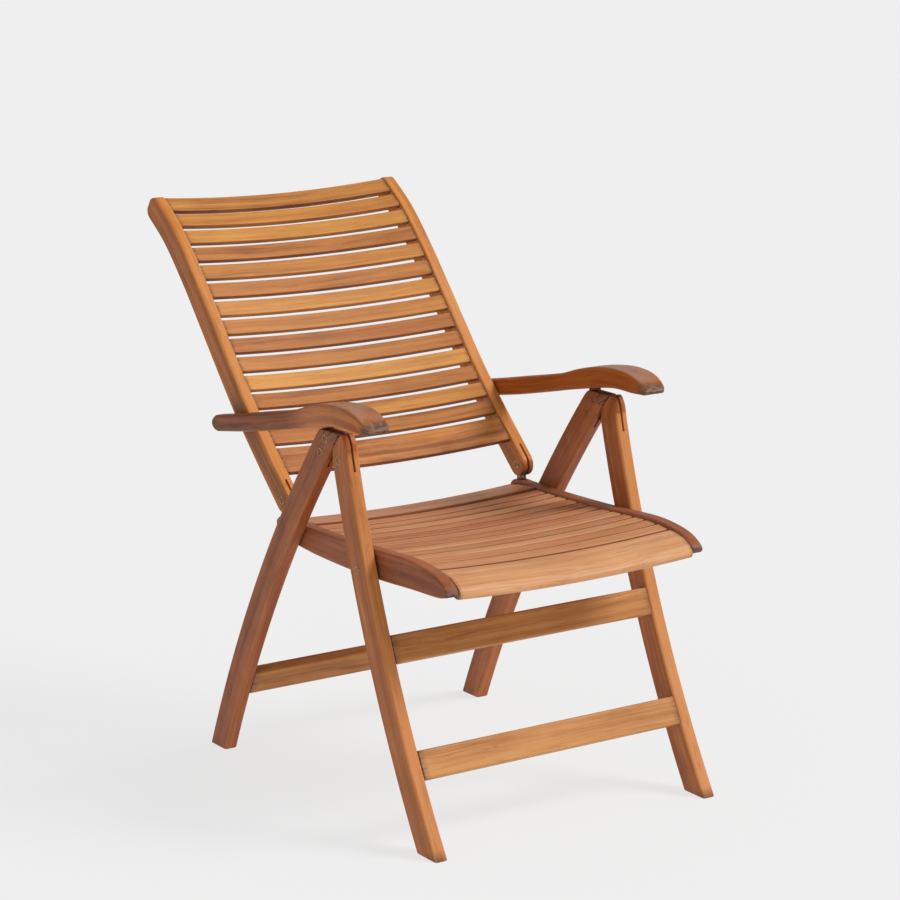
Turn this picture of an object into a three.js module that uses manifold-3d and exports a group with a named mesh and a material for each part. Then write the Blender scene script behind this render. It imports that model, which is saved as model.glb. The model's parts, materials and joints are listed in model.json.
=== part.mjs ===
// A folding garden armchair with a reclining back: two pairs of curved legs hinged at the
// top, a slatted seat and a slatted back hinged to each other, and two armrests.
// Millimetres. x runs across the chair, the sitter faces -y, z is up.
import * as THREE from 'three';
import { mergeVertices } from 'three/addons/utils/BufferGeometryUtils.js';
import Module from 'manifold-3d';

const wasm = await Module();
wasm.setup();

// ---- driving dimensions ----
const overLegs = 538; // across the outer faces of the legs
const legThickness = 23;
const legWidth = 46;
const sideGap = 4; // between a leg and the seat rail beside it
const railThickness = 22;
const fitGap = 0.3; // between faces that touch
const slotWidth = 4; // saw cut that takes a hinge plate
const plateThickness = 3;
const frameCentre = 129.8; // layout y of the middle of the chair

// Pivots and pins in the side view, as layout (y, z).
const legPivot = [-69, 575];
const seatPivot = [-120, 412];
const backPivot = [154.5, 463.5];
const armPivot = [272, 578];
const notchPin = [-15, 632];
const plateRivets = [[-30, 603], [-14, 579]];

const legOuter = overLegs / 2;
const legInner = legOuter - legThickness;
const legMiddle = (legOuter + legInner) / 2;
const railOuter = legInner - sideGap;
const railInner = railOuter - railThickness;
const railMiddle = (railOuter + railInner) / 2;

// Centre lines of the legs: an arc from the foot to the top that bulges to the rear.
const frontLeg = { foot: [-311, 0], top: [-66.6, 600], radius: 2170 };
const rearLeg = { foot: [340.8, 0], top: [-26.5, 600], radius: 2500 };
const rearLegTop = 617; // height of the rear leg's level top end
const chamferTop = 612; // height where the two legs' faces part again

// Back stile centre line, from the seat hinge to the top, and its section.
const stileLine = [
  [154.5, 463.5], [225, 529], [294, 597], [360, 671.5], [413, 733], [466, 793], [527, 853], [592, 898],
];
const stileWidth = 42;
const stileTopRadius = 15;

const woodDark = 0x9a5a32;
const woodMid = 0xb9733f;
const woodLight = 0xcf8a4e;
const brass = 0xb08d4a;
const bronze = 0x6a5a34;

// ---- frame of the side view: shape x is the chair's y, shape y its z, extrusion its x ----
const chair = new THREE.Group();
chair.position.y = -frameCentre;
const sideView = new THREE.Group();
sideView.quaternion.setFromRotationMatrix(new THREE.Matrix4().makeBasis(
  new THREE.Vector3(0, 1, 0), new THREE.Vector3(0, 0, 1), new THREE.Vector3(1, 0, 0),
));
chair.add(sideView);

const wood = (colour) => ({ color: colour, roughness: 0.55, metalness: 0 });
const metal = (colour) => ({ color: colour, roughness: 0.35, metalness: 1 });

function addMesh(parent, name, geometry, look) {
  const mesh = new THREE.Mesh(geometry, new THREE.MeshStandardMaterial(look));
  mesh.name = name;
  parent.add(mesh);
  return mesh;
}

// ---- solids ----
function toManifold(geometry) {
  const bare = geometry.index ? geometry.toNonIndexed() : geometry.clone();
  bare.deleteAttribute('normal');
  bare.deleteAttribute('uv');
  const merged = mergeVertices(bare, 1e-4);
  return new wasm.Manifold(new wasm.Mesh({
    numProp: 3,
    vertProperties: new Float32Array(merged.attributes.position.array),
    triVerts: new Uint32Array(merged.index.array),
  }));
}

function toGeometry(solid) {
  const mesh = solid.getMesh();
  const geometry = new THREE.BufferGeometry();
  geometry.setAttribute('position', new THREE.BufferAttribute(mesh.vertProperties, 3));
  geometry.setIndex(new THREE.BufferAttribute(mesh.triVerts, 1));
  return geometry;
}

function cut(geometry, tools) {
  let solid = toManifold(geometry);
  for (const tool of tools) {
    solid = solid.subtract(toManifold(tool));
  }
  return toGeometry(solid);
}

// A closed side-view outline made into a board between two x values.
function board(outline, x0, x1) {
  const points = outline.map(([y, z]) => new THREE.Vector2(y, z));
  const geometry = new THREE.ExtrudeGeometry(new THREE.Shape(points), {
    depth: x1 - x0, bevelEnabled: false,
  });
  geometry.translate(0, 0, x0);
  return geometry;
}

function smoothLine(points, count) {
  const curve = new THREE.SplineCurve(points.map(([y, z]) => new THREE.Vector2(y, z)));
  return curve.getPoints(count).map((p) => [p.x, p.y]);
}

function arc([cy, cz], radius, from, to, count) {
  const points = [];
  for (let i = 0; i <= count; i += 1) {
    const turn = THREE.MathUtils.degToRad(from + ((to - from) * i) / count);
    points.push([cy + radius * Math.cos(turn), cz + radius * Math.sin(turn)]);
  }
  return points;
}

// A round bar across the chair, as a cutting tool or as a plain pin.
function crossBar([y, z], radius, x0, x1, sides = 12) {
  const geometry = new THREE.CylinderGeometry(radius, radius, x1 - x0, sides);
  geometry.rotateX(Math.PI / 2);
  geometry.translate(y, z, (x0 + x1) / 2);
  return geometry;
}

// A turned pin across the chair: [radius, x] pairs from one end to the other.
function turned([y, z], steps, sides = 12) {
  const profile = [new THREE.Vector2(0, steps[0][1])];
  steps.forEach(([radius, x]) => profile.push(new THREE.Vector2(radius, x)));
  profile.push(new THREE.Vector2(0, steps[steps.length - 1][1]));
  const geometry = new THREE.LatheGeometry(profile, sides);
  geometry.rotateX(Math.PI / 2);
  geometry.translate(y, z, 0);
  return geometry;
}

// ---- fasteners and the holes that take them ----
const headRadius = 7;
const headDepth = 3;
const eyeRadius = 3.4; // dark recess in the middle of a head
const eyeDepth = 1.6;
const shankRadius = 3.5;

// A rivet through a member, with a recessed eye in both heads.
function rivet(at, x0, x1) {
  return turned(at, [
    [eyeRadius, x0 + eyeDepth], [eyeRadius, x0], [headRadius, x0], [headRadius, x0 + headDepth],
    [shankRadius, x0 + headDepth], [shankRadius, x1 - headDepth], [headRadius, x1 - headDepth],
    [headRadius, x1], [eyeRadius, x1], [eyeRadius, x1 - eyeDepth],
  ]);
}

function rivetHole(at, x0, x1) {
  return [
    crossBar(at, shankRadius + fitGap, x0 - 1, x1 + 1),
    crossBar(at, headRadius + fitGap, x0 - 1, x0 + headDepth + fitGap),
    crossBar(at, headRadius + fitGap, x1 - headDepth - fitGap, x1 + 1),
  ];
}

// ---- legs ----
// y of a leg's edge at a height: a circle about the leg's centre of curvature.
function legEdge(leg, side, z) {
  const chord = [leg.top[0] - leg.foot[0], leg.top[1] - leg.foot[1]];
  const half = Math.hypot(chord[0], chord[1]) / 2;
  const reach = Math.sqrt(leg.radius ** 2 - half ** 2);
  const centreY = (leg.foot[0] + leg.top[0]) / 2 - (reach * chord[1]) / (2 * half);
  const centreZ = (leg.foot[1] + leg.top[1]) / 2 + (reach * chord[0]) / (2 * half);
  const radius = leg.radius + (side * legWidth) / 2;
  return centreY + Math.sqrt(radius ** 2 - (z - centreZ) ** 2);
}

function legEdgePoints(leg, side, from, to, count) {
  const points = [];
  for (let i = 0; i <= count; i += 1) {
    const z = from + ((to - from) * i) / count;
    points.push([legEdge(leg, side, z), z]);
  }
  return points;
}

const legSteps = 12;
const meetingGap = 1.2; // between the front leg's chamfer and the rear leg
const chamferStart = 584;

const frontLegOutline = [
  ...legEdgePoints(frontLeg, 1, 0, chamferStart - 12, legSteps),
  [legEdge(rearLeg, -1, chamferStart + 8) - meetingGap, chamferStart + 8],
  [legEdge(rearLeg, -1, chamferTop - 4) - meetingGap, chamferTop - 4],
  ...smoothLine([[-71.5, 616.5], [-77.5, 618], [-84.5, 613], [-90.5, 602]], 4),
  ...legEdgePoints(frontLeg, -1, chamferStart, 0, legSteps),
];

const rearLegOutline = [
  ...legEdgePoints(rearLeg, 1, 0, rearLegTop - 14, legSteps),
  ...smoothLine([[-6.5, 611], [-12, 615.5], [-20, rearLegTop]], 3),
  [-58, rearLegTop],
  [legEdge(rearLeg, -1, chamferTop), chamferTop],
  ...legEdgePoints(rearLeg, -1, chamferTop - 10, 0, legSteps),
];

// Hinge plate: let into the rear leg, with a lug on the front leg's pivot and a neck that
// rises into the armrest.
const lugRadius = 12;
const neckRadius = 8;
const legPlateOutline = [
  ...arc(legPivot, lugRadius, 110, 300, 8),
  [-44, 571], [-8, 563], [0, 569], [-8, 590], [-5.5, 612], [-5, 626],
  ...arc(notchPin, neckRadius, -10, 150, 6),
  [-34, 622], [-36, 611], [-58, 600],
];

const pinReach = 7.5; // half length of the notch pin
const pinRadius = 3;

function plateSlot(outline, middle) {
  return board(outline, middle - slotWidth / 2, middle + slotWidth / 2);
}

// Saw cut in the rear leg around the plate, open at the top and at the front face.
const rearLegSlot = [
  [-90, 640], [-90, 560], [-44, 552], [-4, 555], [6, 567], [0, 600], [6, 640],
];
// Saw cut in the front leg, open at the top, front and rear, deeper at the rear.
const frontLegSlot = [
  [-130, 640], [-112, 563], [-70, 557], [-56, 536], [-30, 530], [-20, 640],
];

const sides = [['right', -1], ['left', 1]];

function mirroredSpan(side, near, far) {
  return side > 0 ? [near, far] : [-far, -near];
}

for (const [word, side] of sides) {
  const [x0, x1] = mirroredSpan(side, legInner, legOuter);
  const middle = side * legMiddle;

  const frontTools = [
    plateSlot(frontLegSlot, middle),
    ...rivetHole(legPivot, x0, x1),
    crossBar(seatPivot, shankRadius + fitGap, x0 - 1, x1 + 1),
    side > 0
      ? crossBar(seatPivot, headRadius + fitGap, x1 - headDepth - fitGap, x1 + 1)
      : crossBar(seatPivot, headRadius + fitGap, x0 - 1, x0 + headDepth + fitGap),
  ];
  addMesh(sideView, `front_leg_${word}`, cut(board(frontLegOutline, x0, x1), frontTools),
    wood(woodMid));

  const rearTools = [
    plateSlot(rearLegSlot, middle),
    ...plateRivets.flatMap((at) => rivetHole(at, x0, x1)),
  ];
  addMesh(sideView, `rear_leg_${word}`, cut(board(rearLegOutline, x0, x1), rearTools),
    wood(woodDark));

  const plateHoles = [legPivot, ...plateRivets].map(
    (at) => crossBar(at, shankRadius + fitGap, middle - slotWidth, middle + slotWidth),
  );
  plateHoles.push(crossBar(notchPin, pinRadius + fitGap, middle - slotWidth, middle + slotWidth));
  const plate = board(legPlateOutline, middle - plateThickness / 2, middle + plateThickness / 2);
  addMesh(sideView, `leg_hinge_plate_${word}`, cut(plate, plateHoles), metal(bronze));

  addMesh(sideView, `leg_plate_rivet_upper_${word}`, rivet(plateRivets[0], x0, x1), metal(brass));
  addMesh(sideView, `leg_plate_rivet_lower_${word}`, rivet(plateRivets[1], x0, x1), metal(brass));
  addMesh(sideView, `leg_pivot_rivet_${word}`, rivet(legPivot, x0, x1), metal(brass));
  addMesh(sideView, `armrest_notch_pin_${word}`,
    crossBar(notchPin, pinRadius, middle - pinReach, middle + pinReach, 12), metal(bronze));
}

// ---- crossbars between the legs: a board along x, tilted with the leg it joins ----
function crossbar(name, leg, height, low, deep, setBack) {
  const front = legEdge(leg, -1, height);
  const slope = (legEdge(leg, -1, height + 20) - legEdge(leg, -1, height - 20)) / 40;
  const lean = Math.atan(slope);
  const geometry = new THREE.BoxGeometry(2 * (legInner - fitGap), deep, low);
  const mesh = addMesh(chair, name, geometry, wood(woodLight));
  mesh.rotation.x = -lean;
  mesh.position.set(0, front + (setBack + deep / 2) * Math.cos(lean), height);
}
crossbar('front_upper_crossbar', frontLeg, 293, 45, 21, 2.5);
crossbar('front_lower_crossbar', frontLeg, 127, 46, 21, 2.5);
crossbar('rear_crossbar', rearLeg, 132, 45, 21, 4);

// ---- seat ----
// The rail's top edge, from its rear to its front, which the slats follow.
const railTopLine = [
  [116, 435.5], [34, 436], [-90, 439.5], [-169, 444], [-215, 446], [-255, 444.5], [-295, 438.5],
  [-318, 429.5],
];
const railOutline = [
  ...smoothLine([
    [-324, 408.5], [-300, 404], [-232, 401], [-148, 396], [-52, 393], [40, 394], [98, 397], [140, 400.5],
    [160, 404.5],
  ], 16),
  ...smoothLine([[170, 411], [174.5, 420], [172.5, 429], [164, 435], [148, 436.5]], 6),
  ...smoothLine(railTopLine, 14),
  ...smoothLine([[-328, 422], [-332, 415], [-330, 410.5]], 3),
];
const seatSlot = [[139, 480], [139, 403], [168, 403], [172, 480]];
const backPlateRadius = 10.5;
const backPlateOutline = [
  ...arc(backPivot, backPlateRadius, 0, 180, 8),
  [145, 448], [143.5, 441], [143.5, 406], [166, 406], [166.5, 441], [164, 448],
];
const boltEnd = railInner + 4; // the seat bolt stops inside the rail
const shoulderRadius = 12; // collar on the seat bolt that keeps the rail off the leg

// Turned steps given for the left side, mirrored for the right.
function sided(side, steps) {
  return side > 0 ? steps : steps.map(([radius, x]) => [radius, -x]).reverse();
}

for (const [word, side] of sides) {
  const [x0, x1] = mirroredSpan(side, railInner, railOuter);
  const middle = side * railMiddle;
  const boltHole = side > 0
    ? crossBar(seatPivot, shankRadius + fitGap, boltEnd - 1, x1 + 1)
    : crossBar(seatPivot, shankRadius + fitGap, x0 - 1, -boltEnd + 1);
  addMesh(sideView, `seat_rail_${word}`,
    cut(board(railOutline, x0, x1), [plateSlot(seatSlot, middle), boltHole]), wood(woodDark));

  const plate = board(backPlateOutline, middle - plateThickness / 2, middle + plateThickness / 2);
  addMesh(sideView, `back_hinge_plate_${word}`,
    cut(plate, [crossBar(backPivot, shankRadius + fitGap, middle - slotWidth, middle + slotWidth)]),
    metal(bronze));
  addMesh(sideView, `back_pivot_rivet_${word}`, rivet(backPivot, x0, x1), metal(brass));

  const bolt = [
    [shankRadius, boltEnd], [shankRadius, railOuter + fitGap], [shoulderRadius, railOuter + fitGap],
    [shoulderRadius, legInner - fitGap], [shankRadius, legInner - fitGap],
    [shankRadius, legOuter - headDepth], [headRadius, legOuter - headDepth],
    [headRadius, legOuter], [eyeRadius, legOuter], [eyeRadius, legOuter - eyeDepth],
  ];
  addMesh(sideView, `seat_pivot_bolt_${word}`, turned(seatPivot, sided(side, bolt)), metal(brass));
}

// A bowed slat: a section carried along an arc across the chair and trimmed between the sides.
// The section is given as [along, out] pairs: along the slat's width, out towards the sitter.
const slatHalf = railInner - fitGap;
function bowedSlat(section, bow, steps) {
  const overrun = 6;
  const half = slatHalf + overrun;
  const depth = (bow * half ** 2) / slatHalf ** 2;
  const path = new THREE.CatmullRomCurve3([...Array(steps + 1).keys()].map((i) => {
    const x = -half + (2 * half * i) / steps;
    return new THREE.Vector3(x, 0, depth * ((x / half) ** 2) - bow);
  }));
  const shape = new THREE.Shape(section.map(([along, out]) => new THREE.Vector2(-along, -out)));
  const geometry = new THREE.ExtrudeGeometry(shape, { steps, extrudePath: path, bevelEnabled: false });
  const trim = new THREE.BoxGeometry(2 * slatHalf, 400, 400);
  return toGeometry(toManifold(geometry).intersect(toManifold(trim)));
}

// A plank section with its two upper edges eased, centred on its width, its face at out = 0.
function plank(width, thickness, ease) {
  const half = width / 2;
  return [
    [-half, -thickness], [half, -thickness], [half, -ease], [half - ease, 0], [-half + ease, 0],
    [-half, -ease],
  ];
}

const slatSteps = 8;
const seatBow = 7;
const seatPitch = 30.5;
const seatGapWidth = 5.5;
const seatSlatThickness = 13;
const regularSeatSlats = 12;
const rearSlatFront = 96.8; // layout y of the rear slat's front edge
const rearSlatWidth = 70;
const railDrop = 4.5; // slat ends lie this far below the rail's top edge

// Height of the rail's top edge at a layout y; level behind the line's first point.
function railTop(y) {
  const i = Math.max(1, railTopLine.findIndex((point) => point[0] <= y));
  const [rear, front] = [railTopLine[i - 1], railTopLine[i]];
  const t = Math.max(0, (rear[0] - y) / (rear[0] - front[0]));
  return rear[1] + t * (front[1] - rear[1]);
}

function seatSlat(name, y, section, tilt) {
  const mesh = addMesh(chair, name, bowedSlat(section, seatBow, slatSteps), wood(woodLight));
  mesh.position.set(0, y, railTop(y) - railDrop);
  mesh.rotation.x = tilt;
}

function slopeAt(y) {
  return Math.atan((railTop(y + 6) - railTop(y - 6)) / 12);
}

const rearSlatMiddle = rearSlatFront + rearSlatWidth / 2;
const rearSlatTilt = -0.1;
seatSlat('seat_slat_01', rearSlatMiddle, plank(rearSlatWidth, seatSlatThickness, 3), rearSlatTilt);
for (let i = 0; i < regularSeatSlats; i += 1) {
  const y = rearSlatFront - seatGapWidth - (seatPitch - seatGapWidth) / 2 - seatPitch * i;
  const name = `seat_slat_${String(i + 2).padStart(2, '0')}`;
  seatSlat(name, y, plank(seatPitch - seatGapWidth, seatSlatThickness, 1.5), slopeAt(y));
}
// The front board: level with the slat behind it, rounded down over the front.
const nosingSection = [
  [28, -9], [30, -7], [30, 6.5], [27.5, 7.6], [10, 5.6], [-6, 1.6], [-20, -6], [-28, -13.5], [-30, -19],
  [-27, -24.5], [-20, -26.5], [-2, -22],
];
seatSlat('seat_nosing', -305, nosingSection, 0);

// ---- back ----
const stileCurve = new THREE.SplineCurve(stileLine.map(([y, z]) => new THREE.Vector2(y, z)));
const stileLength = stileCurve.getLength();

// Point on the stile, s along its centre line and out towards the sitter, with its direction.
function onStile(s, out) {
  const t = s / stileLength;
  const point = stileCurve.getPointAt(t);
  const along = stileCurve.getTangentAt(t);
  return { y: point.x - along.y * out, z: point.y + along.x * out, turn: Math.atan2(along.y, along.x) };
}

const stileSteps = 18;
function stileEdge(out, from, to) {
  const points = [];
  for (let i = 0; i <= stileSteps; i += 1) {
    const place = onStile(from + ((to - from) * i) / stileSteps, out);
    points.push([place.y, place.z]);
  }
  return points;
}

const stileHalf = stileWidth / 2;
const startTurn = THREE.MathUtils.radToDeg(onStile(0, 0).turn);
const endTurn = THREE.MathUtils.radToDeg(onStile(stileLength, 0).turn);
const topBody = stileLength - stileTopRadius;
const topCorner = onStile(topBody, 0);
const topFront = onStile(topBody, stileHalf - stileTopRadius);
const topRear = onStile(topBody, stileTopRadius - stileHalf);
const stileOutline = [
  ...arc(backPivot, stileHalf, startTurn + 90, startTurn + 270, 10),
  ...stileEdge(-stileHalf, 4, topBody),
  ...arc([topRear.y, topRear.z], stileTopRadius, endTurn - 80, endTurn, 4),
  ...arc([topFront.y, topFront.z], stileTopRadius, endTurn + 8, endTurn + 80, 4),
  ...stileEdge(stileHalf, topBody, 4),
];
const stileSlotTop = 26;
const slotFloor = onStile(stileSlotTop, -stileHalf - 2);
const slotMouth = onStile(stileSlotTop, stileHalf + 2);
const stileSlot = [
  [slotFloor.y, slotFloor.z], [slotMouth.y, slotMouth.z], [118, 480], [118, 425], [205, 425],
];

const armThickness = 26;
const armGap = 2.5; // between the stile and the armrest
const armInner = railOuter + armGap;
const armPinRadius = 4;
const pinInStile = 14;
const pinInArm = 17;
const armCollarRadius = 10;
for (const [word, side] of sides) {
  const [x0, x1] = mirroredSpan(side, railInner, railOuter);
  const [h0, h1] = mirroredSpan(side, railOuter - pinInStile - fitGap, railOuter + 1);
  const tools = [
    plateSlot(stileSlot, side * railMiddle),
    ...rivetHole(backPivot, x0, x1),
    crossBar(armPivot, armPinRadius + fitGap, h0, h1),
  ];
  addMesh(sideView, `back_stile_${word}`, cut(board(stileOutline, x0, x1), tools), wood(woodMid));

  const pin = [
    [armPinRadius, railOuter - pinInStile], [armPinRadius, railOuter + fitGap],
    [armCollarRadius, railOuter + fitGap], [armCollarRadius, armInner - fitGap],
    [armPinRadius, armInner - fitGap], [armPinRadius, armInner + pinInArm],
  ];
  addMesh(sideView, `armrest_pivot_pin_${word}`, turned(armPivot, sided(side, pin)), metal(bronze));
}

const backBow = 12.5;
const backSlatThickness = 10;
const backPitch = 36.7;
const backSlatWidth = 28.5;
const firstGap = 95; // distance up the stile of the lowest gap's middle
const backSlatDrop = 3; // slat faces lie this far behind the stile's front edge

function backSlat(name, s, width) {
  const section = plank(width, backSlatThickness, 1.5);
  const mesh = addMesh(chair, name, bowedSlat(section, backBow, slatSteps), wood(woodLight));
  const place = onStile(s, stileHalf - backSlatDrop);
  mesh.position.set(0, place.y, place.z);
  mesh.rotation.x = place.turn;
}

const regularBackSlats = 13;
backSlat('back_slat_01', 65.5, 50);
for (let i = 0; i < regularBackSlats; i += 1) {
  backSlat(`back_slat_${String(i + 2).padStart(2, '0')}`, firstGap + backPitch * (i + 0.5), backSlatWidth);
}
backSlat('back_slat_15', firstGap + backPitch * regularBackSlats + 21.5, 34);

// ---- armrests: a side outline and a plan outline that cross ----
const armSide = [
  ...smoothLine([
    [-165, 634.5], [-141, 633.5], [-98, 633.5], [-54, 627.5], [17, 613], [111, 592], [187, 575.5],
    [245, 564.5], [318, 552],
  ], 20),
  ...smoothLine([[327, 553.5], [332, 559], [332.5, 571], [325, 578.5]], 5),
  ...smoothLine([
    [254, 592.5], [168, 610.5], [71, 631], [17, 647.5], [-36, 660], [-89, 666.5], [-132, 664.5],
    [-158, 656.5], [-173, 646],
  ], 20),
  ...smoothLine([[-177.5, 641], [-176, 636.5], [-171, 634.5]], 2),
];
const armHalf = armThickness / 2;
// Plan outline from the rear end to the tip, as distances out and in from the bar's middle:
// the paddle swells mostly to the outside.
const paddleOut = 29;
const paddleIn = 18;
const armPlanOut = [
  [334, 0], [333, 9], [330, 12], [322, armHalf], [120, armHalf], [60, 14.5], [10, 18.5], [-50, 24.5],
  [-100, 28], [-140, paddleOut], [-168, 27.5], [-178, 23], [-182, 17], [-184, 0],
];
const armPlanIn = [
  [333, 9], [330, 12], [322, armHalf], [60, armHalf], [10, 13.5], [-50, 15.5], [-100, 17.5],
  [-140, paddleIn], [-168, 17], [-178, 14], [-182, 10],
];
const armMiddle = armInner + armHalf;

function armPlan(side) {
  const outer = armPlanOut.map(([y, half]) => new THREE.Vector2(side * (armMiddle + half), y));
  const inner = [...armPlanIn].reverse().map(([y, half]) => new THREE.Vector2(side * (armMiddle - half), y));
  const outline = [...outer, ...inner];
  const geometry = new THREE.ExtrudeGeometry(new THREE.Shape(outline), { depth: 160, bevelEnabled: false });
  geometry.translate(0, 0, 530);
  // from (x, y, z) of the chair to (y, z, x) of the side view
  geometry.applyMatrix4(new THREE.Matrix4().makeBasis(
    new THREE.Vector3(0, 0, 1), new THREE.Vector3(1, 0, 0), new THREE.Vector3(0, 1, 0),
  ));
  return geometry;
}

// The groove under the armrest: a narrow cut for the plate's neck and a wider one for its pin,
// with a row of five notches that hold the back at five angles.
const grooveRoof = 4.2; // clear height above the pin's middle
const grooveFront = 36; // the neck's cut reaches this far ahead of the pin
const grooveRear = 104;
const pinPocketFront = 22;
const pinPocketRear = 92;
const notchCount = 5;
const notchPitch = 18.5;
const notchRadius = 3.6;
const pinSideGap = 0.6;
const grooveTilt = Math.atan2(armPivot[1] - notchPin[1], armPivot[0] - notchPin[0]);

// A point of the groove: along it to the rear from the pin, and up from the pin.
function inGroove(along, up) {
  return [
    notchPin[0] + along * Math.cos(grooveTilt) - up * Math.sin(grooveTilt),
    notchPin[1] + along * Math.sin(grooveTilt) + up * Math.cos(grooveTilt),
  ];
}

function grooveBoard(front, rear, roof, halfWidth, middle) {
  const outline = [
    inGroove(-front, roof), inGroove(-front, -40), inGroove(rear, -40), inGroove(rear, roof),
  ];
  return board(outline, middle - halfWidth, middle + halfWidth);
}

for (const [word, side] of sides) {
  const middle = side * armMiddle;
  const whole = toManifold(board(armSide, middle - 40, middle + 40)).intersect(toManifold(armPlan(side)));
  const [h0, h1] = mirroredSpan(side, armInner - 1, armInner + pinInArm + fitGap);
  const tools = [
    crossBar(armPivot, armPinRadius + fitGap, h0, h1),
    grooveBoard(grooveFront, grooveRear, grooveRoof + 6, slotWidth / 2 + 0.2, middle),
    grooveBoard(pinPocketFront, pinPocketRear, grooveRoof, pinReach + pinSideGap, middle),
  ];
  for (let i = 0; i < notchCount; i += 1) {
    const at = inGroove(notchPitch * i, grooveRoof);
    tools.push(crossBar(at, notchRadius, middle - pinReach - pinSideGap, middle + pinReach + pinSideGap, 10));
  }
  addMesh(sideView, `armrest_${word}`, cut(toGeometry(whole), tools), wood(woodMid));
}

export default chair;
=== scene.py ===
import json
import math

import bpy
import numpy as np
from mathutils import Matrix, Vector


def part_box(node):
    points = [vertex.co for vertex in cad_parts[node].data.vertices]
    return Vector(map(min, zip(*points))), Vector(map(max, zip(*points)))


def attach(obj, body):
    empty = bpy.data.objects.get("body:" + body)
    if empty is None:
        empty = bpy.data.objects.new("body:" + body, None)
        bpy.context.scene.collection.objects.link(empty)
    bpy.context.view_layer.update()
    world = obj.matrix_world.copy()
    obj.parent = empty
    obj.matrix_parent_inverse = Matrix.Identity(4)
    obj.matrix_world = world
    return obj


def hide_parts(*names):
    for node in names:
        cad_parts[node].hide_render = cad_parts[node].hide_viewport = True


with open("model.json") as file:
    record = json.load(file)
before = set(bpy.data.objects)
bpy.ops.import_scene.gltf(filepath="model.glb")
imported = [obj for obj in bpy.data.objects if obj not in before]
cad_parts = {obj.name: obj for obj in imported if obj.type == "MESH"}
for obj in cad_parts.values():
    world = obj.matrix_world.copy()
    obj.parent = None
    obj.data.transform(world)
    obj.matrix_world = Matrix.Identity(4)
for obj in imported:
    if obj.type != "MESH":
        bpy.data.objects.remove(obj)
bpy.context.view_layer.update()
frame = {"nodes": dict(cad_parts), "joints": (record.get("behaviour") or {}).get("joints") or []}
print("frame loaded:", len(frame["nodes"]), "nodes")

mm = 0.001
joints = {joint["name"]: joint for joint in frame["joints"]}

# The side view is laid out in millimetres, y to the rear and z up from the floor. The five points
# below are in that layout, and layoutShift takes a layout y to the frame.
legPivot = (-69.0, 575.0)
seatPivot = (-120.0, 412.0)
backPivot = (154.5, 463.5)
armPivot = (272.0, 578.0)
notchPin = (-15.0, 632.0)
layoutShift = backPivot[0] - joints["back_fold"]["pos_m"][1] / mm

# Side planes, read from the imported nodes, in millimetres.
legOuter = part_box("front_leg_left")[1][0] / mm
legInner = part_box("front_leg_left")[0][0] / mm
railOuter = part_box("seat_rail_left")[1][0] / mm
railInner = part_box("seat_rail_left")[0][0] / mm
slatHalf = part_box("back_slat_05")[1][0] / mm
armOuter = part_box("armrest_left")[1][0] / mm
legMiddle = (legOuter + legInner) / 2
railMiddle = (railOuter + railInner) / 2
sides = (("right", -1), ("left", 1))
# half the width of a saw cut that takes a hinge plate
slotHalf = 2.0
random = np.random.default_rng(41)


def smoothCurve(points, count):
    # uniform Catmull-Rom spline: each span blends four neighbouring points, the ends doubled
    p = np.asarray(points, float)
    p = np.vstack([p[:1], p, p[-1:]])
    t = np.linspace(0, len(p) - 3, count)
    k = np.minimum(t.astype(int), len(p) - 4)
    f = (t - k)[:, None]
    a, b, c, d = p[k], p[k + 1], p[k + 2], p[k + 3]
    return 0.5 * (2 * b + (c - a) * f + (2 * a - 5 * b + 4 * c - d) * f**2 + (3 * b - a - 3 * c + d) * f**3)


def lengthAlong(line):
    # running length of a polyline from its first point
    return np.concatenate([[0], np.cumsum(np.linalg.norm(np.diff(line, axis=0), axis=1))])


def easedEnds(places, radius, first=True, last=True):
    # how far a section draws in near an end: a quarter circle of that radius, 0 past it
    inset = np.zeros(len(places))
    gaps = ([places - places[0]] if first else []) + ([places[-1] - places] if last else [])
    for gap in gaps:
        short = np.clip(radius - gap, 0, radius)
        inset = np.maximum(inset, radius - np.sqrt(radius**2 - short**2))
    return inset


def withEnds(places, radius, first=True, last=True):
    # adds the stations that an eased end needs: a quarter turn in four steps
    turn = radius * (1 - np.cos(np.linspace(0, np.pi / 2, 5)))
    extra = [places]
    if first:
        extra.append(places[0] + turn)
    if last:
        extra.append(places[-1] - turn)
    return np.unique(np.concatenate(extra).round(6))


def roundedSection(halfA, halfB, radius, corner=5):
    # a rounded rectangle for every station: four quarter circles with a point just past each
    # of their ends, which keeps the flat faces flat when they are shaded
    halfA, halfB = np.broadcast_arrays(np.asarray(halfA, float), np.asarray(halfB, float))
    radius = np.minimum(np.minimum(radius, halfA * 0.98), halfB * 0.98)
    angle = np.linspace(0, np.pi / 2, corner)
    a, b = [], []
    for signA, signB, start in ((1, 1, 0), (-1, 1, 1), (-1, -1, 2), (1, -1, 3)):
        turn = angle + start * np.pi / 2
        coreA = (halfA - radius)[:, None]
        coreB = (halfB - radius)[:, None]
        hold = np.minimum(0.5, 0.5 * np.minimum(coreA, coreB))
        cornerA = signA * coreA + radius[:, None] * np.cos(turn)
        cornerB = signB * coreB + radius[:, None] * np.sin(turn)
        beforeA, beforeB = cornerA[:, :1].copy(), cornerB[:, :1].copy()
        afterA, afterB = cornerA[:, -1:].copy(), cornerB[:, -1:].copy()
        if start % 2 == 0:
            beforeB -= signB * hold
            afterA -= signA * hold
        else:
            beforeA -= signA * hold
            afterB -= signB * hold
        a.append(np.hstack([beforeA, cornerA, afterA]))
        b.append(np.hstack([beforeB, cornerB, afterB]))
    return np.hstack(a), np.hstack(b)


def addObject(name, data):
    made = bpy.data.objects.new(name, data)
    bpy.context.scene.collection.objects.link(made)
    return made


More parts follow.
